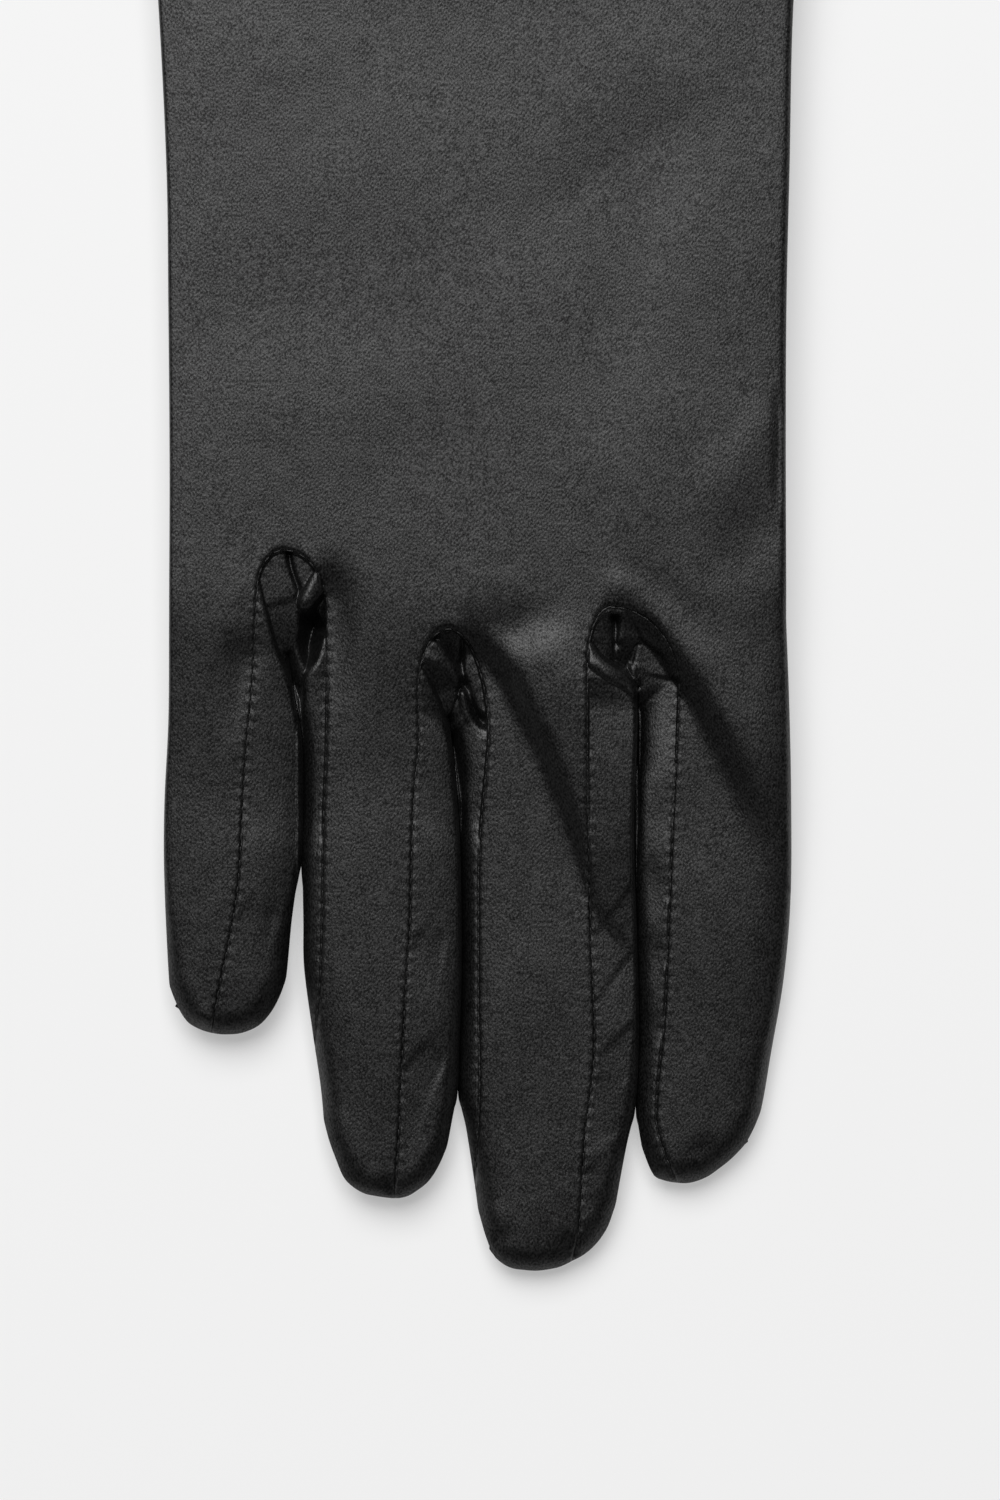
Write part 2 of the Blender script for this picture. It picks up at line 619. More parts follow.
def skirt(edge_points, edge_heights):
    """Rows of 3-D points below the outline: down the side and a little way under."""
    _, _, _, left = EDGE.nearest(edge_points)
    firm = pressed(edge_points)[:, None]
    rows = []
    for k, touch in enumerate(TOUCH_ROWS):
        angle = math.pi / 2 * k / (len(TOUCH_ROWS) - 1)
        inset = mix(FOOT_ROLL * (1 - math.cos(angle)), FINGER_GAP / 2 * touch, firm)
        plan = edge_points + left * inset
        z = edge_heights - (edge_heights - FOOT_HEIGHT) * math.sin(angle) ** FOOT_POWER
        rows.append(np.column_stack([plan[:, 0], np.minimum(plan[:, 1], CUFF_Y), z]))
    return np.array(rows)


def raised(grid, change=None):
    """A plan grid given its heights, with the distance to the nearest seam and along it."""
    flat = grid.reshape(-1, 2)
    z, gap, run = heights(flat, change)
    shape = grid.shape[:2]
    return np.dstack([grid, z.reshape(shape)]), gap.reshape(shape), run.reshape(shape)


def placed(points):
    """Points in metres, with the middle of the glove's length at y 0."""
    return (np.asarray(points) - (0.0, MIDDLE_Y, 0.0)) / 1000


def add_object(name, data):
    thing = bpy.data.objects.new(name, data)
    bpy.context.scene.collection.objects.link(thing)
    return thing


def upward(faces):
    return sum(face.normal.z * face.calc_area() for face in faces)


def face_outwards(mesh, faces_inwards):
    work = bmesh.new()
    work.from_mesh(mesh)
    bmesh.ops.recalc_face_normals(work, faces=work.faces)
    if faces_inwards(work.faces):
        bmesh.ops.reverse_faces(work, faces=work.faces)
    work.to_mesh(mesh)
    work.free()
    mesh.shade_smooth()


def cloth_object(name, sheets, material, wall=CLOTH):
    """A mesh from sheets of points (rows, columns, 3), welded along their borders and given a wall."""
    points, quads, gaps, runs = [], [], [], []
    count = 0
    for grid, gap, run in sheets:
        rows, columns = grid.shape[:2]
        index = count + np.arange(rows * columns).reshape(rows, columns)
        corners = (index[:-1, :-1], index[1:, :-1], index[1:, 1:], index[:-1, 1:])
        quads.append(np.stack(corners, -1).reshape(-1, 4))
        points.append(grid.reshape(-1, 3))
        gaps.append(gap.ravel())
        runs.append(run.ravel())
        count += rows * columns
    points, quads = np.vstack(points), np.vstack(quads)
    _, first, place = np.unique(np.round(points, 3), axis=0, return_index=True, return_inverse=True)
    quads = place.ravel()[quads]
    points, gaps, runs = points[first], np.concatenate(gaps)[first], np.concatenate(runs)[first]
    faces = []
    for quad in quads.tolist():
        face = [v for k, v in enumerate(quad) if v != quad[k - 1]]
        if len(set(face)) == len(face) >= 3:
            faces.append(face)
    mesh = bpy.data.meshes.new(name)
    mesh.from_pydata(placed(points).tolist(), [], faces)
    for label, values in (("seam_gap", gaps), ("seam_run", runs)):
        mesh.attributes.new(label, "FLOAT", "POINT").data.foreach_set("value", values.astype(np.float32))
    face_outwards(mesh, lambda faces: upward(faces) < 0)
    mesh.materials.append(material)
    piece = add_object(name, mesh)
    thick = piece.modifiers.new("cloth", "SOLIDIFY")
    thick.thickness = wall / 1000
    thick.offset = -1.0
    return piece


def add_node(tree, kind, inputs=(), **settings):
    """A shader node with its settings, and its inputs linked or set."""
    node = tree.nodes.new(kind)
    for key, value in settings.items():
        setattr(node, key, value)
    for key, value in dict(inputs).items():
        if isinstance(value, bpy.types.NodeSocket):
            tree.links.new(value, node.inputs[key])
        else:
            node.inputs[key].default_value = value
    return node


def add_math(tree, operation, a, b=0.0):
    return add_node(tree, "ShaderNodeMath", {0: a, 1: b}, operation=operation).outputs[0]


# the weave's ridges, and the grain of its floats along the ridges, in millimetres
WEAVE_PITCH = 0.45
GRAIN_SIZE = 0.22
FLOAT_STRETCH = 1.7
SHINE_LOW = 0.30
SATIN_DARK = 0.0004
SATIN_LIGHT = 0.0015
SATIN_ROUGHNESS = 0.45
ROUGHNESS_SPREAD = 0.03
SATIN_SHINE = 0.85
SATIN_SHEEN = 0.004
GRAIN_BUMP = 0.00005
PUCKER_BUMP = 0.00003
MOTTLE = 0.30
STREAK = 0.06
PUCKER_REACH = 0.75


def new_material(name):
    material = bpy.data.materials.new(name)
    material.use_nodes = True
    return material, material.node_tree, material.node_tree.nodes["Principled BSDF"]


def in_millimetres(tree):
    """The surface's own place, in millimetres."""
    place = add_node(tree, "ShaderNodeTexCoord").outputs["Object"]
    return add_node(tree, "ShaderNodeVectorMath", {0: place, 3: 1000.0}, operation="SCALE").outputs[0]


def satin(name, turn=45.0):
    """Black satin: a smooth dark face with a slanting weave, a fine grain and puckers beside the seams."""
    material, tree, shader = new_material(name)
    place = in_millimetres(tree)
    turned = {"Vector": place, "Rotation": (0.0, 0.0, math.radians(turn))}
    twill = add_node(tree, "ShaderNodeTexWave", {
        "Vector": add_node(tree, "ShaderNodeMapping", turned).outputs[0],
        "Scale": math.pi / 10 / WEAVE_PITCH, "Distortion": 3.0, "Detail": 2.0, "Detail Scale": 3.0,
    }).outputs["Fac"]
    stretch = {0: place, 1: (1.0, 1 / FLOAT_STRETCH, 1.0)}
    floats = add_node(tree, "ShaderNodeVectorMath", stretch, operation="MULTIPLY").outputs[0]
    grain = add_node(tree, "ShaderNodeTexNoise", {
        "Vector": floats, "Scale": 1 / GRAIN_SIZE, "Detail": 1.0, "Roughness": 0.5,
    }).outputs["Fac"]
    cloud = add_node(tree, "ShaderNodeTexNoise", {
        "Vector": place, "Scale": 0.45, "Detail": 4.0, "Roughness": 0.62,
    }).outputs["Fac"]
    mottle = add_math(tree, "MULTIPLY", add_math(tree, "SUBTRACT", cloud, 0.5), MOTTLE)
    streak = add_math(tree, "MULTIPLY", add_math(tree, "SUBTRACT", twill, 0.5), STREAK)
    yarn = add_math(tree, "ADD", add_math(tree, "ADD", grain, mottle), streak)
    for socket, low, high in (
        ("Base Color", SATIN_DARK, SATIN_LIGHT),
        ("Specular Tint", SHINE_LOW, 1.0),
        ("Roughness", SATIN_ROUGHNESS - ROUGHNESS_SPREAD, SATIN_ROUGHNESS + ROUGHNESS_SPREAD),
    ):
        spread = add_node(tree, "ShaderNodeMapRange", {
            "Value": yarn, "From Min": 0.30, "From Max": 0.70, "To Min": low, "To Max": high,
        }).outputs[0]
        tree.links.new(spread, shader.inputs[socket])
    shader.inputs["Specular IOR Level"].default_value = SATIN_SHINE
    shader.inputs["Sheen Weight"].default_value = SATIN_SHEEN
    shader.inputs["Sheen Roughness"].default_value = 0.4
    gap = add_node(tree, "ShaderNodeAttribute", attribute_name="seam_gap").outputs["Fac"]
    run = add_node(tree, "ShaderNodeAttribute", attribute_name="seam_run").outputs["Fac"]
    wave = add_math(tree, "SINE", add_math(tree, "MULTIPLY", run, 2 * math.pi / STITCH))
    square = add_math(tree, "MULTIPLY", gap, gap)
    near = add_math(tree, "EXPONENT", add_math(tree, "MULTIPLY", square, -1 / PUCKER_REACH ** 2))
    pucker = add_math(tree, "MULTIPLY", wave, near)
    seam_bump = add_node(tree, "ShaderNodeBump", {
        "Strength": 1.0, "Distance": PUCKER_BUMP, "Height": pucker,
    }).outputs[0]
    bump = add_node(tree, "ShaderNodeBump", {
        "Strength": 1.0, "Distance": GRAIN_BUMP, "Height": yarn, "Normal": seam_bump,
    }).outputs[0]
    tree.links.new(bump, shader.inputs["Normal"])
    return material


# the mesh of the back: columns crowd together beside the seams, and rows at the fingertips
DENSE = np.array([0.0, 0.12, 0.28, 0.50, 0.80, 1.20, 1.75, 2.5, 3.5])
TIP_SHARE = 0.035
FINGER_SHARES = np.concatenate([even(100) * (1 - TIP_SHARE), 1 - TIP_SHARE * (1 - even(13)[1:]) ** 1.9])
HAND_STEP = 1.1
HEM_STEP = 0.9
HEM_DEPTH = 11.0
SLEEVE_ROWS = 96
NEAR_ROWS = 30
NEAR_START = 26.0
EDGE_KEEP = 4.0
ARCH_STEPS = 24


def spaced(a, b):
    """Points from a to b, close together near both ends."""
    width = float(np.hypot(*(b - a)))
    dense = DENSE[DENSE < width * 0.4]
    count = max(2, round((width - 2 * dense[-1]) / 1.0))
    inner = np.linspace(dense[-1], width - dense[-1], count + 1)[1:-1]
    reach = np.concatenate([dense, inner, (width - dense)[::-1]]) / width
    return a + (b - a) * reach[:, None]


def finger_sides(finger):
    """Left and right side of a finger's back, from the root to the tip, and the row round its tip."""
    sides = {}
    ends = {"left": -CORNER, "right": CORNER}
    for side in ("left", "right"):
        if (finger, side) in SEAM_ENDS:
            sides[side] = LEGS[finger, side].at(FINGER_SHARES)
            ends[side] = SEAM_ENDS[finger, side]
        elif (finger, side) in LEGS:
            leg = LEGS[finger, side]
            rest = finger_edge(finger, side, leg.points[-1, 1], -CORNER)
            sides[side] = Line(np.vstack([leg.points, rest.points[1:]])).at(FINGER_SHARES)
        else:
            start = 0.0 if side == "left" else ARCHES["middle_index"][2][1] * HAND_WIDTH
            sides[side] = finger_edge(finger, side, start, ends[side]).at(FINGER_SHARES)
    top = spaced(sides["left"][0], sides["right"][0])
    tip = tip_line(finger, mix(ends["left"], ends["right"], even(len(top) - 1)))
    tip[0], tip[-1] = sides["left"][-1], sides["right"][-1]
    return top, tip, sides


def hand_grid(root):
    """Rows of plan points from the cuff down to the root row, keeping its spacing near the edges."""
    left, right = root[0, 0], root[-1, 0]
    levels = np.concatenate([
        CUFF_Y - np.arange(0, HEM_DEPTH + 4, HEM_STEP),
        np.linspace(CUFF_Y - HEM_DEPTH - 4, HAND_LENGTH, SLEEVE_ROWS),
        np.linspace(HAND_LENGTH, NEAR_START, int((HAND_LENGTH - NEAR_START) / HAND_STEP))[1:],
    ])
    a, b = LEFT_EDGE(levels)[:, None], RIGHT_EDGE(levels)[:, None]
    x = root[None, :, 0]
    share = (x - left - EDGE_KEEP) / (right - left - 2 * EDGE_KEEP)
    inner = mix(a + EDGE_KEEP, b - EDGE_KEEP, share)
    across = np.where(share < 0, a + x - left, np.where(share > 1, b - (right - x), inner))
    rows = np.dstack([across, np.repeat(levels[:, None], len(root), axis=1)])
    sides = []
    ends = ((LEFT_EDGE, "left", "little", root[0]), (RIGHT_EDGE, "right", "index", root[-1]))
    for edge, side, finger, end in ends:
        y = mix(NEAR_START, end[1], even(NEAR_ROWS))
        sides.append(np.stack([np.where(y > 0, edge(y), side_x(finger, side, np.minimum(y, 0))), y], axis=-1))
    return np.concatenate([rows, patch(rows[-1], root, sides[0], sides[1])[1:]])


def away_from_seams(rows):
    far = np.full(rows.shape[:2], FAR)
    return rows, far, far * 0


def skirt_sheet(edge_points, change=None):
    z, _, _ = heights(edge_points, change)
    return away_from_seams(skirt(edge_points, z))


def make_back():
    sheets, root = [], []
    for i, finger in enumerate(FINGERS):
        top, tip, sides = finger_sides(finger)
        sheets.append(raised(patch(top, tip, sides["left"], sides["right"])))
        edge = tip
        if finger == "little":
            edge = np.vstack([sides["left"][:-1], tip])
        if (finger, "left") in POINT_ENDS:
            end_y = LEGS[finger, "left"].points[-1, 1]
            edge = np.vstack([sides["left"][sides["left"][:, 1] < end_y + 0.2][:-1], tip])
        if finger == "index":
            edge = np.vstack([tip, sides["right"][::-1][1:]])
        sheets.append(skirt_sheet(edge))
        root.append(top)
        if i < 3:
            root.append(arch_line(GAPS[i], ARCH_STEPS).points[1:-1])
    grid = hand_grid(np.vstack(root))
    sheets.append(raised(grid))
    sheets.append(skirt_sheet(grid[:, 0]))
    sheets.append(skirt_sheet(grid[:, -1]))
    return cloth_object("back_cloth", sheets, satin("back satin"))


back = make_back()
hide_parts("back_panel")
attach(back, "root")


# Side strips between the fingers
# Narrow strips of the same satin give the fingers their depth. Each runs from one fingertip up to the
# crotch and down to the next tip; at the crotch the spare cloth bunches into a pocket of small folds.

PANELS = (
    # name, outline, height, rise to the right and towards the cuff, rounding of its edge
    ("a_flap", (
        (-31.68, 10.56), (-28.78, 5.94), (-28.25, 3.7), (-27.46, 0.26), (-26.4, -3.96), (-24.95, -7.39),
        (-24.29, -9.5), (-23.23, -12.41), (-22.84, -16.5), (-22.84, -36.96), (-39.07, -36.96), (-36.43, 7.92),
    ), 0.0, 0.0, 0.0, 0.45),
    ("a_left", (
        (-31.15, 1.32), (-29.83, 7.92), (-28.25, 11.22), (-25.34, 11.88), (-25.08, 8.98), (-24.68, 6.86),
        (-23.89, 4.75), (-23.36, 3.04), (-24.29, 2.38), (-25.87, 2.11), (-27.46, 1.45), (-28.25, 1.85),
    ), -0.75, -0.03, 0.05, 0.5),
    ("a_right", (
        (-24.55, 11.88), (-17.29, 11.22), (-17.29, 6.34), (-20.33, 5.94), (-21.65, 4.88), (-22.18, 3.96),
        (-22.7, 3.04), (-23.23, 4.75), (-24.02, 6.86),
    ), -0.8, 0.0, 0.05, 0.5),
    ("a_tongue", (
        (-20.99, 6.6), (-20.33, 7.52), (-17.29, 7.26), (-17.29, 5.28), (-19.54, 3.96), (-20.86, 2.64),
        (-22.18, 1.19), (-23.23, 1.58), (-23.1, 2.77), (-22.04, 4.62),
    ), 0.3, 0.0, -0.1, 0.8),
    ("a_lower", (
        (-29.04, 3.43), (-25.87, 4.22), (-23.5, 3.7), (-23.23, -0.66), (-23.63, -3.3), (-23.1, -5.02),
        (-22.31, -6.86), (-22.44, -11.22), (-23.76, -11.09), (-24.55, -8.58), (-25.61, -5.54), (-26.66, -2.38),
        (-28.25, 1.06),
    ), -1.4, -0.05, 0.05, 0.45),
    ("a_strip", (
        (-17.29, -1.06), (-17.29, -36.96), (-23.23, -36.96), (-22.84, -16.5), (-23.1, -12.41), (-22.7, -9.77),
        (-22.7, -7.92), (-21.78, -6.34), (-20.86, -5.54), (-20.33, -3.7), (-19.8, -1.85),
    ), -0.35, 0.02, 0.0, 0.7),
    ("a_corner", (
        (-17.29, 4.62), (-17.29, -2.64), (-19.14, -2.64), (-19.8, -0.66), (-20.86, 1.06), (-20.33, 2.64),
        (-19.27, 3.7),
    ), -1.8, 0.0, 0.35, 0.3),
    ("b_left", (
        (-12.67, -5.28), (-7.0, -6.34), (-5.94, -8.71), (-5.02, -10.82), (-4.09, -13.46), (-3.56, -16.5),
        (-2.9, -19.8), (-2.24, -23.76), (-1.98, -36.96), (-12.67, -36.96),
    ), 0.0, 0.0, 0.0, 0.4),
    ("b_under_lip", (
        (-9.37, -5.54), (-4.75, -5.81), (-3.17, -7.39), (-2.11, -8.98), (-3.43, -9.77), (-5.15, -10.16),
        (-6.34, -8.98), (-7.26, -7.39), (-9.37, -7.92),
    ), -1.0, 0.18, 0.34, 0.35),
    ("b_triangle", (
        (-6.07, -8.45), (-3.56, -8.45), (-2.24, -9.5), (-3.04, -11.62), (-3.96, -13.46), (-4.88, -11.62),
    ), -1.1, 0.25, 0.02, 0.35),
    ("b_lip", (
        (-10.69, -5.28), (-8.71, -3.3), (-5.81, -2.64), (-4.75, -3.17), (-3.7, -4.62), (-2.64, -6.2),
        (-1.98, -8.32), (-2.64, -8.45), (-3.96, -7.0), (-5.15, -5.94), (-6.6, -5.41), (-8.71, -6.34),
    ), 0.3, 0.1, -0.12, 0.6),
    ("b_tongue", (
        (-6.34, 0.26), (-3.43, 1.32), (-1.85, -0.26), (-1.98, -3.7), (-2.24, -5.94), (-3.17, -5.68),
        (-4.09, -4.22), (-5.15, -3.04), (-6.07, -2.11),
    ), -0.9, 0.12, 0.14, 0.5),
    ("b_right", (
        (-1.72, 1.32), (3.17, 0.0), (5.81, -10.56), (3.83, -13.46), (1.72, -13.2), (0.53, -12.28),
        (-0.4, -10.56), (-0.79, -8.58), (-1.58, -7.13), (-1.32, -5.28), (-1.58, -3.3),
    ), -0.5, 0.12, 0.05, 0.5),
    ("b_strand", (
        (-2.11, -9.24), (-1.32, -9.5), (-0.92, -11.62), (-0.26, -13.46), (0.79, -14.52), (3.83, -14.12),
        (3.83, -15.84), (0.26, -16.1), (-1.06, -15.31), (-1.72, -13.46), (-2.11, -11.35),
    ), -0.55, -0.03, 0.06, 0.7),
    ("b_strip", (
        (-3.7, -14.12), (-2.64, -13.46), (-2.11, -10.96), (-1.72, -10.96), (-1.45, -12.54), (-0.79, -13.99),
        (0.26, -14.92), (1.58, -15.31), (3.83, -15.18), (5.81, -36.96), (-1.58, -36.96), (-1.85, -23.76),
        (-2.38, -20.46), (-3.04, -17.16),
    ), -0.6, 0.0, 0.0, 0.8),
    ("b_link", (
        (-2.11, -10.16), (-1.85, -10.82), (-1.85, -12.67), (-1.45, -14.65), (-2.38, -14.26), (-2.77, -13.2),
        (-3.56, -13.46), (-3.04, -11.62),
    ), -1.1, 0.0, 0.1, 0.35),
    ("c_left", (
        (11.09, -9.24), (14.78, -8.98), (16.63, -9.5), (18.22, -10.3), (19.54, -10.82), (20.59, -10.96),
        (21.12, -12.41), (21.25, -15.84), (21.12, -36.96), (11.09, -36.96),
    ), -0.45, 0.02, -0.04, 0.3),
    ("c_under_lip", (
        (11.09, -5.28), (15.05, -5.81), (16.76, -7.13), (18.22, -8.45), (19.93, -9.24), (21.12, -10.43),
        (21.12, -13.46), (19.01, -13.73), (16.37, -12.67), (14.78, -12.14), (11.09, -12.14),
    ), -0.45, 0.04, 0.21, 0.35),
    ("c_lip", (
        (11.09, -0.66), (13.07, -3.96), (14.39, -5.81), (15.97, -7.13), (17.56, -8.18), (19.4, -9.11),
        (20.99, -10.43), (21.65, -9.5), (20.06, -7.52), (18.22, -6.34), (16.76, -5.41), (15.84, -4.36),
        (15.05, -2.64), (14.12, -0.26),
    ), 0.5, 0.0, -0.17, 0.8),
    ("c_bowl", (
        (14.92, -2.64), (15.58, -0.53), (16.63, 0.66), (17.56, 0.66), (17.95, -0.79), (18.08, -3.3),
        (17.95, -5.81), (17.03, -6.07), (15.84, -4.62), (15.05, -3.7),
    ), -0.95, -0.14, 0.16, 0.5),
    ("c_rim", (
        (12.41, -2.64), (13.46, 0.66), (16.37, 3.7), (19.8, 3.43), (20.59, 1.32), (19.54, 0.4), (17.82, 0.92),
        (16.5, 0.4), (15.58, -0.66), (15.05, -2.64),
    ), -0.1, 0.0, 0.0, 0.3),
    ("c_hook_side", (
        (18.61, 1.06), (20.59, 2.11), (22.97, 0.0), (23.63, -2.64), (21.65, -2.9), (20.59, -3.04),
        (19.27, -2.77), (18.48, -3.3), (18.88, -1.58), (19.01, -0.26),
    ), -0.55, 0.16, 0.16, 0.5),
    ("c_dark", (
        (18.35, -3.43), (19.8, -2.77), (21.78, -3.04), (21.25, -4.75), (20.46, -6.47), (19.27, -6.73),
        (18.22, -6.47), (18.08, -4.62),
    ), -1.9, 0.0, 0.3, 0.45),
    ("c_band", (
        (20.06, 3.96), (29.57, 3.17), (32.87, -10.56), (28.51, -10.82), (27.46, -7.79), (25.48, -5.81),
        (23.63, -3.96), (21.91, -2.64), (20.86, -0.53),
    ), -0.05, 0.0, 0.0, 0.3),
    ("c_triangle", (
        (21.38, -2.64), (23.23, -3.56), (25.34, -5.41), (27.59, -7.79), (23.63, -7.52), (20.33, -6.86),
        (20.86, -5.28),
    ), -0.65, 0.24, 0.02, 0.45),
    ("c_strip", (
        (20.33, -5.81), (22.97, -5.81), (25.34, -6.34), (27.46, -7.13), (29.57, -10.56), (29.57, -36.96),
        (21.52, -36.96), (21.52, -15.84), (21.38, -12.41), (20.99, -10.43),
    ), -0.36, 0.0, -0.06, 0.45),
)

SIDE_FOLDS = (
    # name, path, width to the left and right of the path, height, run-in and run-out shares
    ("b_gap_band", ((-3.56, -13.86), (-2.9, -16.5), (-2.38, -19.8), (-1.98, -23.76)), 1.0, 0.2, -0.8, 0.2, 0.4),
    ("c_gap_band", (
        (21.25, -9.24), (21.78, -12.54), (21.78, -17.16), (21.65, -23.76),
    ), 1.6, 0.2, -0.45, 0.2, 0.4),
    ("middle_v1", ((15.05, -40.26), (17.16, -42.24), (20.86, -43.82)), 2.6, 6.0, -0.1, 0.2, 0.2),
    ("middle_v2", ((15.31, -60.06), (16.9, -64.02), (19.27, -68.64)), 2.4, 6.0, -0.14, 0.2, 0.2),
    ("middle_v3", ((14.52, -71.94), (16.37, -73.92), (17.95, -76.56)), 1.6, 6.0, -0.1, 0.2, 0.1),
    ("index_p1", ((21.38, -33.26), (23.63, -34.85), (26.0, -35.9)), 2.2, 7.0, -0.26, 0.1, 0.1),
    ("index_p2", ((21.12, -42.5), (22.97, -43.82), (25.34, -44.88)), 2.0, 7.0, -0.26, 0.1, 0.1),
    ("index_p3", ((21.38, -52.01), (22.97, -53.59), (24.82, -55.18)), 1.8, 7.0, -0.24, 0.1, 0.1),
    ("ring_p1", ((-8.18, -41.45), (-6.34, -42.77), (-3.7, -43.3)), 2.0, 6.0, -0.14, 0.2, 0.2),
    ("ring_p2", ((-8.18, -56.76), (-6.34, -58.34), (-3.96, -59.4)), 2.6, 6.0, -0.18, 0.2, 0.2),
    ("little_p1", ((-31.15, -37.62), (-29.04, -39.07), (-25.87, -40.13)), 2.0, 6.0, -0.1, 0.2, 0.2),
)

SIDE_SHAPES = [(smooth_line(row[1], 8), row[2:]) for row in SIDE_FOLDS]
PIT_DEPTH = 7.5
POCKET_END = -31.0
POCKET_FADE = 6.0
POCKET_LIP = 0.30
POCKET_SINK = 0.14
LEAST_HEIGHT = 0.8
STRIP_STEPS = 40
STRIP_CROWDING = 0.6
ARCH_ROWS = 120
FOLDED_LENGTH = 19
FOLDED_STEP = 0.18
LOWER_STEP = 0.6


def closed_line(points, step=0.5):
    """A closed line through plan points, with its corners rounded off a little."""
    line = Line(np.vstack([points, points[:1]]))
    count = int(line.length / step)
    ring = line.at(np.arange(count) / count)
    for _ in range(2):
        ring = (np.roll(ring, 1, axis=0) + 2 * ring + np.roll(ring, -1, axis=0)) / 4
    return Line(np.vstack([ring, ring[:1]]))


PANEL_SHAPES = [(closed_line(np.array(row[1])), np.mean(row[1], axis=0), row[2:]) for row in PANELS]


def inside(points, loop):
    """Which points lie inside a closed line."""
    found = np.zeros(len(points), bool)
    for (ax, ay), (bx, by) in zip(loop, np.roll(loop, -1, axis=0)):
        if ay != by:
            crosses = (ay > points[:, 1]) != (by > points[:, 1])
            found ^= crosses & (points[:, 0] < ax + (bx - ax) * (points[:, 1] - ay) / (by - ay))
    return found


PANEL_BLEND = 0.25
PANEL_CURL = 0.45
PANEL_SIDE = 2.6


def panels(points):
    """Height of the small folds of a crotch: rounded panels of cloth that lie over one another."""
    top = np.full(len(points), -PIT_DEPTH)
    for line, middle, (level, right_rise, up_rise, rounding) in PANEL_SHAPES:
        low, high = line.points.min(0) - 2, line.points.max(0) + 2
        near = np.where(((points > low) & (points < high)).all(1))[0]
        if not len(near):
            continue
        distance, _, _, _ = line.nearest(points[near])
        within = inside(points[near], line.points[:-1])
        curl = PANEL_CURL * rounding * (1 - np.clip(distance / rounding, 0, 1)) ** 2
        fall = np.where(within, curl, PANEL_CURL * rounding + PANEL_SIDE * distance)
        slope = (points[near] - middle) @ np.array([right_rise, up_rise])
        panel = np.minimum(level + slope, max(level, 0.0)) - fall
        share = np.clip(0.5 + (panel - top[near]) / (2 * PANEL_BLEND), 0, 1)
        top[near] = mix(top[near], panel, share) + PANEL_BLEND * share * (1 - share)
    return top


def with_pocket(points, z, seam_distance):
    """A strip's heights with its side folds and its pocket, which fades out down the fingers."""
    pocket = (panels(points) - POCKET_SINK) * ease((points[:, 1] - POCKET_END) / POCKET_FADE)
    z = z + ease(seam_distance / POCKET_LIP) * (folds(points, SIDE_SHAPES) + pocket)
    return np.maximum(z, LEAST_HEIGHT)


def leg_shares(length):
    """Shares along a strip's leg: short steps in the folds near the crotch, longer ones below."""
    short = np.arange(0, FOLDED_LENGTH, FOLDED_STEP)
    rest = np.linspace(FOLDED_LENGTH, length, int((length - FOLDED_LENGTH) / LOWER_STEP) + 1)
    return np.concatenate([short, rest]) / length


def strip_leg(finger, side, gap):
    """Seam points and outline points of a strip along one finger, from the crotch to its end."""
    leg = LEGS[finger, side]
    if (finger, side) in SEAM_ENDS:
        edge = finger_edge(finger, side, web(gap)[1], SEAM_ENDS[finger, side])
    else:
        y = mix(web(gap)[1], leg.points[-1, 1], even(80))
        edge = Line(np.stack([side_x(finger, side, y), y], axis=-1))
    shares = leg_shares(leg.length)
    seam = leg.at(shares)
    outer = edge.at(shares)
    outer[-1] = seam[-1]
    return seam, outer


def make_strip(gap):
    i = GAPS.index(gap)
    seam_a, edge_a = strip_leg(FINGERS[i], "right", gap)
    seam_b, edge_b = strip_leg(FINGERS[i + 1], "left", gap)
    arch = arch_line(gap, ARCH_ROWS).points
    round_web = web_line(gap, ARCH_ROWS)
    seam = np.vstack([seam_a[::-1], arch[1:-1], seam_b])
    edge = np.vstack([edge_a[::-1], round_web[1:-1], edge_b])
    share = 0.5 - 0.5 * np.cos(math.pi * even(STRIP_STEPS))
    share = mix(even(STRIP_STEPS), share, STRIP_CROWDING)[None, :, None]
    grid = seam[:, None] * (1 - share) + edge[:, None] * share
    sheets = [raised(grid, with_pocket), skirt_sheet(edge, with_pocket)]
    strip = cloth_object("strip_" + gap, sheets, satin("strip satin " + gap, 40.0))
    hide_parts("fourchette_" + gap)
    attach(strip, "root")


for gap in GAPS:
    make_strip(gap)


# Stitches of the fingers
# One row of black spun thread sinks into each strip's seam, from a fingertip round the crotch to the
# next fingertip.

THREAD_WIDTH = 0.24
THREAD_LENGTH = 1.15
THREAD_SINK = 0.02
THREAD_DARK = 0.0012
THREAD_LIGHT = 0.0060
THREAD_BUMP = 0.00004


def thread_material(name):
    """Black spun thread: matt, with its twist as short slanting streaks."""
    material, tree, shader = new_material(name)
    twist = add_node(tree, "ShaderNodeTexWave", {
        "Vector": in_millimetres(tree), "Scale": 1.3, "Distortion": 1.5, "Detail": 1.0,
    }).outputs["Fac"]
    for socket, low, high in (("Base Color", THREAD_DARK, THREAD_LIGHT), ("Roughness", 0.62, 0.45)):
        spread = add_node(tree, "ShaderNodeMapRange", {"Value": twist, "To Min": low, "To Max": high}).outputs[0]
        tree.links.new(spread, shader.inputs[socket])
    bump = add_node(tree, "ShaderNodeBump", {
        "Strength": 0.6, "Distance": THREAD_BUMP, "Height": twist,
    }).outputs[0]
    tree.links.new(bump, shader.inputs["Normal"])
    return material


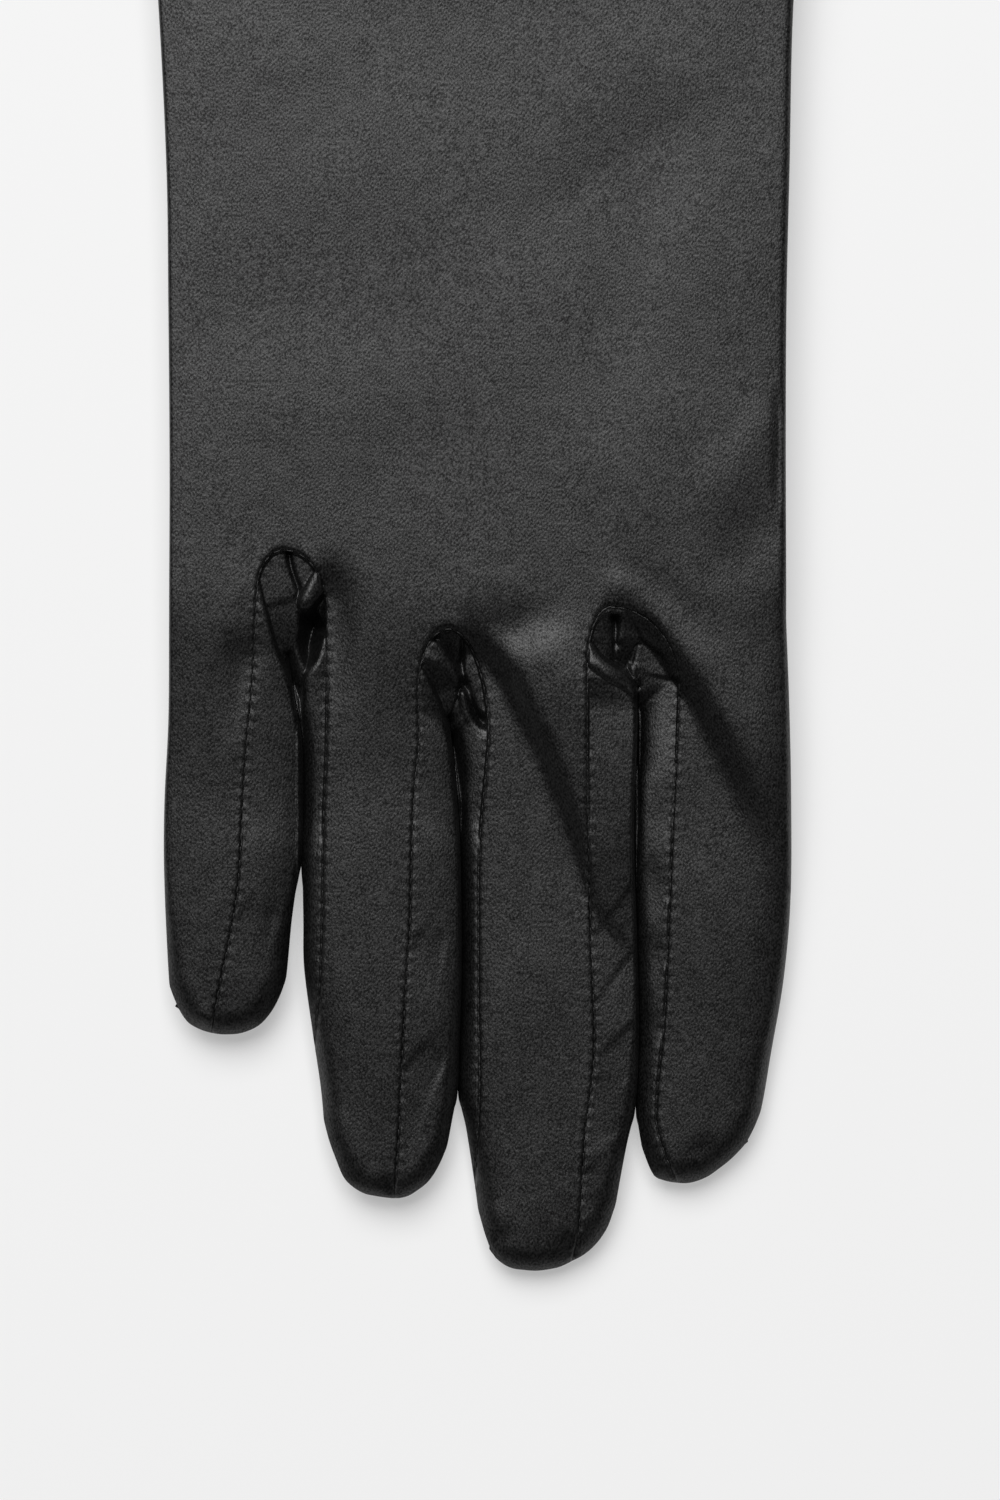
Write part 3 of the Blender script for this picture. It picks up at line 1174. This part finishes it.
def stitch_tree(material):
    """Lays a thread at even steps along each row, in the row's direction."""
    tree = bpy.data.node_groups.new("row of stitches", "GeometryNodeTree")
    tree.is_modifier = True
    tree.interface.new_socket("Row", in_out="INPUT", socket_type="NodeSocketGeometry")
    for label in ("Pitch", "Thread Length", "Thread Width"):
        tree.interface.new_socket(label, in_out="INPUT", socket_type="NodeSocketFloat")
    tree.interface.new_socket("Stitches", in_out="OUTPUT", socket_type="NodeSocketGeometry")
    given = add_node(tree, "NodeGroupInput").outputs
    row = add_node(tree, "GeometryNodeMeshToCurve", {"Mesh": given["Row"]}).outputs[0]
    spacing = {"Curve": row, "Length": given["Pitch"]}
    row = add_node(tree, "GeometryNodeResampleCurve", spacing, mode="LENGTH").outputs[0]
    along = add_node(tree, "GeometryNodeInputTangent").outputs[0]
    turn = add_node(tree, "FunctionNodeAlignRotationToVector", {"Vector": along}, axis="X").outputs[0]
    ball = add_node(tree, "GeometryNodeMeshUVSphere", {"Segments": 8, "Rings": 6, "Radius": 0.5}).outputs[0]
    size = add_node(tree, "ShaderNodeCombineXYZ", {
        "X": given["Thread Length"], "Y": given["Thread Width"], "Z": given["Thread Width"],
    }).outputs[0]
    thread = add_node(tree, "GeometryNodeTransform", {"Geometry": ball, "Scale": size}).outputs[0]
    laid = add_node(tree, "GeometryNodeInstanceOnPoints", {
        "Points": row, "Instance": thread, "Rotation": turn,
    }).outputs[0]
    laid = add_node(tree, "GeometryNodeRealizeInstances", {"Geometry": laid}).outputs[0]
    laid = add_node(tree, "GeometryNodeSetShadeSmooth", {0: laid}).outputs[0]
    laid = add_node(tree, "GeometryNodeSetMaterial", {"Geometry": laid, "Material": material}).outputs[0]
    add_node(tree, "NodeGroupOutput", {"Stitches": laid})
    return tree


def sew(name, rows, pitch):
    """Stitches along rows of 3-D points in millimetres, as one mesh on a piece of the glove."""
    points, edges = [], []
    for row in rows:
        edges += [(len(points) + k, len(points) + k + 1) for k in range(len(row) - 1)]
        points += placed(row).tolist()
    path = bpy.data.meshes.new(name + "_row")
    path.from_pydata(points, edges, [])
    tree = stitch_tree(thread_material(name + " thread"))
    work = add_object(name + "_row", path)
    sewing = work.modifiers.new("stitches", "NODES")
    sewing.node_group = tree
    sizes = {"Pitch": pitch, "Thread Length": THREAD_LENGTH, "Thread Width": THREAD_WIDTH}
    for socket in tree.interface.items_tree:
        if socket.name in sizes:
            sewing[socket.identifier] = sizes[socket.name] / 1000
    seen = work.evaluated_get(bpy.context.evaluated_depsgraph_get())
    mesh = bpy.data.meshes.new_from_object(seen)
    work.modifiers.remove(sewing)
    bpy.data.objects.remove(work)
    mesh.name = name
    stitches = add_object(name, mesh)
    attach(stitches, "root")


for gap in GAPS:
    line = SEAM_LINES[gap]
    plan = line.at(np.arange(STITCH * 2, line.length - STITCH * 1.5, STITCH / 4) / line.length)
    z, _, _ = heights(plan)
    sew("stitches_" + gap, [np.column_stack([plan, z - THREAD_SINK])], STITCH)


# Palm of the glove
# A second piece of satin: the palm, the lower side of the forearm and the fronts of the fingers. It is
# sewn to the turned edge of the back all round, lies flat on the table and rises over the folded thumb.

THUMB_LENGTH = 62.0
THUMB_WIDTH = 22.0
THUMB_HEIGHT = 4.0
THUMB_TAPER = 0.80
THUMB_HEEL = np.array([22.5, 71.0])
THUMB_ANGLE = math.radians(13.0)
THUMB_AXIS = np.array([-math.sin(THUMB_ANGLE), -math.cos(THUMB_ANGLE)])
MOUTH_LENGTH = 27.0
MOUTH_WIDTH = 13.0
MOUTH_FROM_HEEL = 4.5
HUMP_ROOM = 0.8
HUMP_RAMP = 3.6
HUMP_RISE = 0.35
PALM_HEIGHT = 0.05
WELD = 0.00002
PALM_EDGE = (
    # distance in from the foot of the turned edge, height
    (0.02, 0.42), (0.12, 0.20), (0.35, 0.08), (0.80, PALM_HEIGHT),
)


def pouch_ring(start, end, start_radius, end_radius, steps=40):
    """Plan points once round a long rounded shape on the thumb's axis, from start to end along it."""
    across = np.array([THUMB_AXIS[1], -THUMB_AXIS[0]])
    angle = math.pi * (even(steps) - 0.5)[:, None]
    parts = []
    for centre, radius, way in ((start + start_radius, start_radius, -1), (end - end_radius, end_radius, 1)):
        along = THUMB_HEEL + THUMB_AXIS * (centre + way * radius * np.cos(angle))
        parts.append(along + across * way * radius * np.sin(angle))
    return np.vstack(parts)


def thumb_ring(offset):
    half = THUMB_WIDTH / 2
    return pouch_ring(-offset, THUMB_LENGTH + offset, half + offset, half * THUMB_TAPER + offset)


def mouth_ring():
    return pouch_ring(MOUTH_FROM_HEEL, MOUTH_FROM_HEEL + MOUTH_LENGTH, MOUTH_WIDTH / 2, MOUTH_WIDTH / 2)


def ring_sheet(rings):
    """Closed rings of 3-D points as a sheet whose last column repeats the first."""
    return away_from_seams(np.array([np.vstack([ring, ring[:1]]) for ring in rings]))


def at_height(plan, z):
    return np.column_stack([plan, np.full(len(plan), z)])


def fill_between(mesh, borders):
    """Triangles between closed loops of 3-D points, in millimetres, welded to the mesh."""
    work = bmesh.new()
    work.from_mesh(mesh)
    edges = []
    for loop in borders:
        made = [work.verts.new(point) for point in placed(loop)]
        edges += [work.edges.new(pair) for pair in zip(made, made[1:] + made[:1])]
    bmesh.ops.triangle_fill(work, edges=edges, use_beauty=True, use_dissolve=False, normal=(0.0, 0.0, 1.0))
    bmesh.ops.remove_doubles(work, verts=work.verts, dist=WELD)
    bmesh.ops.recalc_face_normals(work, faces=work.faces)
    if upward(work.faces) > 0:
        bmesh.ops.reverse_faces(work, faces=work.faces)
    bmesh.ops.reverse_faces(work, faces=[face for face in work.faces if face.normal.z > 0.9])
    work.to_mesh(mesh)
    work.free()
    mesh.shade_smooth()


def make_palm():
    lift = THUMB_HEIGHT + HUMP_RISE
    rings = [at_height(mouth_ring(), lift)]
    for t in even(14)[::-1]:
        height = PALM_HEIGHT + (lift - PALM_HEIGHT) * float(ease(t))
        rings.append(at_height(thumb_ring(HUMP_ROOM + HUMP_RAMP * (1 - t)), height))
    _, _, _, left = EDGE.nearest(EDGE.points)
    edge = []
    for inset, z in PALM_EDGE:
        plan = EDGE.points + left * (FOOT_ROLL + inset)
        plan[:, 1] = np.minimum(plan[:, 1], CUFF_Y)
        edge.append(at_height(plan, z))
    border = away_from_seams(np.array(edge))
    palm = cloth_object("palm_cloth", [ring_sheet(rings), border], satin("palm satin", 50.0))
    fill_between(palm.data, [edge[-1], rings[-1]])
    return palm


palm = make_palm()
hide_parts("palm_panel")
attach(palm, "root")


# Thumb
# A flat pouch of satin, sewn into the hole of the palm and folded under the hand, where it lies between
# the palm and the table.

THUMB_LIFT = 0.03


def make_thumb():
    half = THUMB_HEIGHT / 2
    rings = [at_height(mouth_ring(), THUMB_HEIGHT)]
    for degrees in np.linspace(90, -90, 15):
        angle = math.radians(degrees)
        height = half + (half - THUMB_LIFT) * math.sin(angle)
        rings.append(at_height(thumb_ring(-half * (1 - math.cos(angle))), height))
    thumb = cloth_object("thumb_cloth", [ring_sheet(rings)], satin("thumb satin", 20.0))
    fill_between(thumb.data, [rings[-1]])
    face_outwards(thumb.data, lambda faces: min(faces, key=lambda face: face.calc_center_median().z).normal.z > 0)
    return thumb


thumb = make_thumb()
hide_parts("thumb")
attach(thumb, "root")


# Hem of the cuff
# The cloth at the open end is turned in over the raw edge and sewn down, a double band about a
# finger's width deep.

HEM_ROWS = (
    # distance back from the opening, distance inside the outer face
    (0.70, -0.16),
    (-0.10, -0.14),
    (-0.42, 0.08),
    (-0.50, 0.40),
    (-0.40, 0.74),
    (-0.05, 0.95),
    (0.80, 1.00),
    (3.0, 1.00),
    (6.0, 1.00),
    (9.0, 1.00),
    (HEM_DEPTH, 1.05),
)
HEM_CLOTH = 0.3
HEM_STITCH = 2.4
HEM_LINE = 9.4
HEM_ENDS = 2.5
HEM_POINTS = 220
LOWER_THREAD = 0.14
CORNER_STRETCH = 1.2
CORNER_WIDTH = 6.0
CUFF_COLUMNS = 60
FLOOR_COLUMNS = 40


def cuff_loop():
    """The outer face of the opening, once round, seen along the glove."""
    left_x, right_x = LEFT_EDGE(CUFF_Y), RIGHT_EDGE(CUFF_Y)
    x = np.concatenate([
        left_x + DENSE * CORNER_STRETCH,
        np.linspace(left_x + CORNER_WIDTH, right_x - CORNER_WIDTH, CUFF_COLUMNS),
        (right_x - DENSE * CORNER_STRETCH)[::-1],
    ])
    plan = np.stack([x, np.full(len(x), CUFF_Y)], axis=-1)
    z, _, _ = heights(plan)
    top = np.column_stack([x, z])
    right = skirt(plan[-1:], z[-1:])[:, 0][:, (0, 2)]
    left = skirt(plan[:1], z[:1])[:, 0][:, (0, 2)]
    floor = at_height(np.linspace(right[-1, 0], left[-1, 0], FLOOR_COLUMNS)[1:-1], PALM_HEIGHT)
    return np.vstack([top, right[1:], floor, left[::-1][:-1]])


def make_hem():
    loop = cuff_loop()
    before, after = loop - np.roll(loop, 1, axis=0), np.roll(loop, -1, axis=0) - loop
    along = before / np.linalg.norm(before, axis=1)[:, None] + after / np.linalg.norm(after, axis=1)[:, None]
    inward = np.column_stack([along[:, 1], -along[:, 0]])
    inward /= np.linalg.norm(inward, axis=1)[:, None]
    rings = []
    for back_by, inside in HEM_ROWS:
        ring = loop + inward * inside
        plan = at_height(ring[:, 0], CUFF_Y - back_by)
        rings.append(np.column_stack([plan, np.maximum(ring[:, 1], 0.02)]))
    return cloth_object("hem_cloth", [ring_sheet(rings)], satin("hem satin", 45.0), wall=HEM_CLOTH)


hem = make_hem()
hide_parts("cuff_hem")
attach(hem, "root")


def hem_rows():
    """The line of stitches that holds the hem, on the upper and on the lower side."""
    y = CUFF_Y - HEM_LINE
    x = np.linspace(LEFT_EDGE(y) + HEM_ENDS, RIGHT_EDGE(y) - HEM_ENDS, HEM_POINTS)
    plan = np.stack([x, np.full(len(x), y)], axis=-1)
    z, _, _ = heights(plan)
    lower = plan[(x > x[0] + FOOT_ROLL) & (x < x[-1] - FOOT_ROLL)]
    return [np.column_stack([plan, z + THREAD_WIDTH / 4]), at_height(lower, LOWER_THREAD)]


sew("stitches_hem", hem_rows(), HEM_STITCH)


# Camera, lights and table
# The glove lies on a pale table, seen from straight above. A wide soft light stands past the cuff, a
# little to the left, and the walls of the room give a faint glow near the horizon.

# the view: millimetres to a pixel, its height in pixels, and its centre and level in millimetres
VIEW_SCALE = 0.132
VIEW_HEIGHT = 1500
VIEW_LENS = 135.0
VIEW_SENSOR = 36.0
VIEW_CENTRE = (3.17, -17.16)
VIEW_LEVEL = 5.0
# the light and the table, in metres and watts
LIGHT_SIZE = 2.2
LIGHT_POWER = 93.0
LIGHT_PLACE = Vector((-0.36, 1.33, 2.16))
LIGHT_TARGET = Vector((0.0, -0.15, 0.0))
WALL_GLOW = 0.40
CEILING_GLOW = 0.024
WHITE = (1.0, 1.0, 1.0, 1.0)
PAPER = (0.52, 0.52, 0.52, 1.0)
PAPER_GLOW = 0.415
TABLE_HALF = 2


camera = add_object("camera", bpy.data.cameras.new("camera"))
camera.data.lens = VIEW_LENS
camera.data.sensor_width = VIEW_SENSOR
camera.data.clip_end = 20.0
eye_level = VIEW_LEVEL + VIEW_HEIGHT * VIEW_SCALE * VIEW_LENS / VIEW_SENSOR
camera.location = (VIEW_CENTRE[0] / 1000, (VIEW_CENTRE[1] - MIDDLE_Y) / 1000, eye_level / 1000)
bpy.context.scene.camera = camera

softbox = add_object("softbox", bpy.data.lights.new("softbox", "AREA"))
softbox.data.shape = "SQUARE"
softbox.data.size = LIGHT_SIZE
softbox.data.energy = LIGHT_POWER
softbox.location = LIGHT_PLACE
softbox.rotation_euler = (LIGHT_TARGET - LIGHT_PLACE).to_track_quat("-Z", "Y").to_euler()

world = bpy.data.worlds.new("studio")
world.use_nodes = True
sky = world.node_tree
toward = add_node(sky, "ShaderNodeTexCoord").outputs["Generated"]
rise = add_node(sky, "ShaderNodeSeparateXYZ", {0: toward}).outputs["Z"]
glow = add_node(sky, "ShaderNodeMapRange", {
    "Value": rise, "From Min": 0.10, "From Max": 0.30, "To Min": WALL_GLOW, "To Max": CEILING_GLOW,
}, interpolation_type="SMOOTHSTEP").outputs[0]
sky.links.new(glow, sky.nodes["Background"].inputs["Strength"])
sky.nodes["Background"].inputs["Color"].default_value = WHITE
bpy.context.scene.world = world
bpy.context.scene.view_settings.view_transform = "Standard"

table = bpy.data.meshes.new("table")
corners = [(x * TABLE_HALF, y * TABLE_HALF, 0) for x, y in ((-1, -1), (1, -1), (1, 1), (-1, 1))]
table.from_pydata(corners, [], [(0, 1, 2, 3)])
paper, _, surface = new_material("paper")
for socket, value in (
    ("Base Color", PAPER),
    ("Emission Color", WHITE),
    ("Emission Strength", PAPER_GLOW),
    ("Roughness", 0.9),
    ("Specular IOR Level", 0.1),
):
    surface.inputs[socket].default_value = value
table.materials.append(paper)
floor = add_object("table", table)

bpy.context.view_layer.update()
